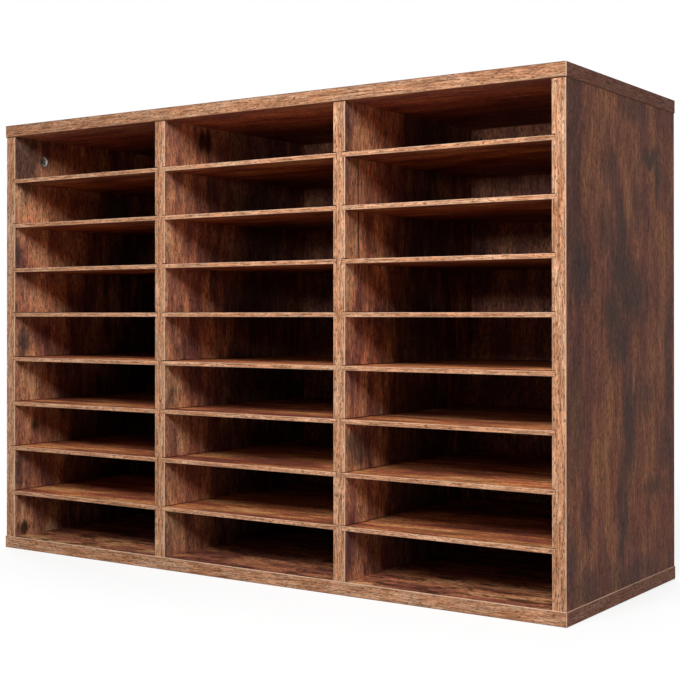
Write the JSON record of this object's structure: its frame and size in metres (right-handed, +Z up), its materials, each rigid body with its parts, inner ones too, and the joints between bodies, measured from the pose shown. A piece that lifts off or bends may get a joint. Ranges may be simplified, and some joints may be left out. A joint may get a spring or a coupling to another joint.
{
  "type": "literature sorter",
  "caption": "Open-front literature sorter: a wood-print board cabinet whose columns of thin shelves slide in grooves and pull out at the front.",
  "frame": {"origin": "middle of the footprint, on the surface the cabinet stands on", "axes": "+X to the right seen from the open front, +Y to the back, +Z up"},
  "size_m": [0.78, 0.305, 0.55],
  "materials": {
    "wood_print_board": "melamine-faced particle board with a rustic brown wood print, satin",
    "wood_print_edge_band": "printed edge band in a lighter brown than the faces, satin",
    "wood_print_shelf": "thin fibreboard faced with the same wood print, front edge lighter",
    "wood_print_back": "thin hardboard, wood print on the front face and plain brown on the rear face",
    "bare_zinc": "bare die-cast zinc, dull",
    "plated_steel": "zinc-plated steel, satin",
    "beech": "plain turned beech, fluting left out"
  },
  "bodies": {
    "cabinet": {"top_panel": "wood_print_board", "bottom_panel": "wood_print_board", "left_side_panel": "wood_print_board", "left_divider_panel": "wood_print_board", "right_divider_panel": "wood_print_board", "right_side_panel": "wood_print_board", "top_panel_edge_band": "wood_print_edge_band", "bottom_panel_edge_band": "wood_print_edge_band", "left_side_edge_band": "wood_print_edge_band", "left_divider_edge_band": "wood_print_edge_band", "right_divider_edge_band": "wood_print_edge_band", "right_side_edge_band": "wood_print_edge_band", "left_back_panel": "wood_print_back", "middle_back_panel": "wood_print_back", "right_back_panel": "wood_print_back", "cam_locks": "bare_zinc", "cam_bolts": "plated_steel", "dowels": "beech", "bottom_screws": "plated_steel"},
    "left_shelf_1": {"left_shelf_1": "wood_print_shelf"},
    "left_shelf_2": {"left_shelf_2": "wood_print_shelf"},
    "left_shelf_3": {"left_shelf_3": "wood_print_shelf"},
    "left_shelf_4": {"left_shelf_4": "wood_print_shelf"},
    "left_shelf_5": {"left_shelf_5": "wood_print_shelf"},
    "left_shelf_6": {"left_shelf_6": "wood_print_shelf"},
    "left_shelf_7": {"left_shelf_7": "wood_print_shelf"},
    "left_shelf_8": {"left_shelf_8": "wood_print_shelf"},
    "middle_shelf_1": {"middle_shelf_1": "wood_print_shelf"},
    "middle_shelf_2": {"middle_shelf_2": "wood_print_shelf"},
    "middle_shelf_3": {"middle_shelf_3": "wood_print_shelf"},
    "middle_shelf_4": {"middle_shelf_4": "wood_print_shelf"},
    "middle_shelf_5": {"middle_shelf_5": "wood_print_shelf"},
    "middle_shelf_6": {"middle_shelf_6": "wood_print_shelf"},
    "middle_shelf_7": {"middle_shelf_7": "wood_print_shelf"},
    "middle_shelf_8": {"middle_shelf_8": "wood_print_shelf"},
    "right_shelf_1": {"right_shelf_1": "wood_print_shelf"},
    "right_shelf_2": {"right_shelf_2": "wood_print_shelf"},
    "right_shelf_3": {"right_shelf_3": "wood_print_shelf"},
    "right_shelf_4": {"right_shelf_4": "wood_print_shelf"},
    "right_shelf_5": {"right_shelf_5": "wood_print_shelf"},
    "right_shelf_6": {"right_shelf_6": "wood_print_shelf"},
    "right_shelf_7": {"right_shelf_7": "wood_print_shelf"},
    "right_shelf_8": {"right_shelf_8": "wood_print_shelf"}
  },
  "joints": [
    {"name": "left_shelf_1_slide", "type": "slide", "parent": "cabinet", "child": "left_shelf_1", "axis": [0, -1, 0], "range_m": [0, 0.27]},
    {"name": "left_shelf_2_slide", "type": "slide", "parent": "cabinet", "child": "left_shelf_2", "axis": [0, -1, 0], "range_m": [0, 0.27]},
    {"name": "left_shelf_3_slide", "type": "slide", "parent": "cabinet", "child": "left_shelf_3", "axis": [0, -1, 0], "range_m": [0, 0.27]},
    {"name": "left_shelf_4_slide", "type": "slide", "parent": "cabinet", "child": "left_shelf_4", "axis": [0, -1, 0], "range_m": [0, 0.27]},
    {"name": "left_shelf_5_slide", "type": "slide", "parent": "cabinet", "child": "left_shelf_5", "axis": [0, -1, 0], "range_m": [0, 0.27]},
    {"name": "left_shelf_6_slide", "type": "slide", "parent": "cabinet", "child": "left_shelf_6", "axis": [0, -1, 0], "range_m": [0, 0.27]},
    {"name": "left_shelf_7_slide", "type": "slide", "parent": "cabinet", "child": "left_shelf_7", "axis": [0, -1, 0], "range_m": [0, 0.27]},
    {"name": "left_shelf_8_slide", "type": "slide", "parent": "cabinet", "child": "left_shelf_8", "axis": [0, -1, 0], "range_m": [0, 0.27]},
    {"name": "middle_shelf_1_slide", "type": "slide", "parent": "cabinet", "child": "middle_shelf_1", "axis": [0, -1, 0], "range_m": [0, 0.27]},
    {"name": "middle_shelf_2_slide", "type": "slide", "parent": "cabinet", "child": "middle_shelf_2", "axis": [0, -1, 0], "range_m": [0, 0.27]},
    {"name": "middle_shelf_3_slide", "type": "slide", "parent": "cabinet", "child": "middle_shelf_3", "axis": [0, -1, 0], "range_m": [0, 0.27]},
    {"name": "middle_shelf_4_slide", "type": "slide", "parent": "cabinet", "child": "middle_shelf_4", "axis": [0, -1, 0], "range_m": [0, 0.27]},
    {"name": "middle_shelf_5_slide", "type": "slide", "parent": "cabinet", "child": "middle_shelf_5", "axis": [0, -1, 0], "range_m": [0, 0.27]},
    {"name": "middle_shelf_6_slide", "type": "slide", "parent": "cabinet", "child": "middle_shelf_6", "axis": [0, -1, 0], "range_m": [0, 0.27]},
    {"name": "middle_shelf_7_slide", "type": "slide", "parent": "cabinet", "child": "middle_shelf_7", "axis": [0, -1, 0], "range_m": [0, 0.27]},
    {"name": "middle_shelf_8_slide", "type": "slide", "parent": "cabinet", "child": "middle_shelf_8", "axis": [0, -1, 0], "range_m": [0, 0.27]},
    {"name": "right_shelf_1_slide", "type": "slide", "parent": "cabinet", "child": "right_shelf_1", "axis": [0, -1, 0], "range_m": [0, 0.27]},
    {"name": "right_shelf_2_slide", "type": "slide", "parent": "cabinet", "child": "right_shelf_2", "axis": [0, -1, 0], "range_m": [0, 0.27]},
    {"name": "right_shelf_3_slide", "type": "slide", "parent": "cabinet", "child": "right_shelf_3", "axis": [0, -1, 0], "range_m": [0, 0.27]},
    {"name": "right_shelf_4_slide", "type": "slide", "parent": "cabinet", "child": "right_shelf_4", "axis": [0, -1, 0], "range_m": [0, 0.27]},
    {"name": "right_shelf_5_slide", "type": "slide", "parent": "cabinet", "child": "right_shelf_5", "axis": [0, -1, 0], "range_m": [0, 0.27]},
    {"name": "right_shelf_6_slide", "type": "slide", "parent": "cabinet", "child": "right_shelf_6", "axis": [0, -1, 0], "range_m": [0, 0.27]},
    {"name": "right_shelf_7_slide", "type": "slide", "parent": "cabinet", "child": "right_shelf_7", "axis": [0, -1, 0], "range_m": [0, 0.27]},
    {"name": "right_shelf_8_slide", "type": "slide", "parent": "cabinet", "child": "right_shelf_8", "axis": [0, -1, 0], "range_m": [0, 0.27]}
  ]
}
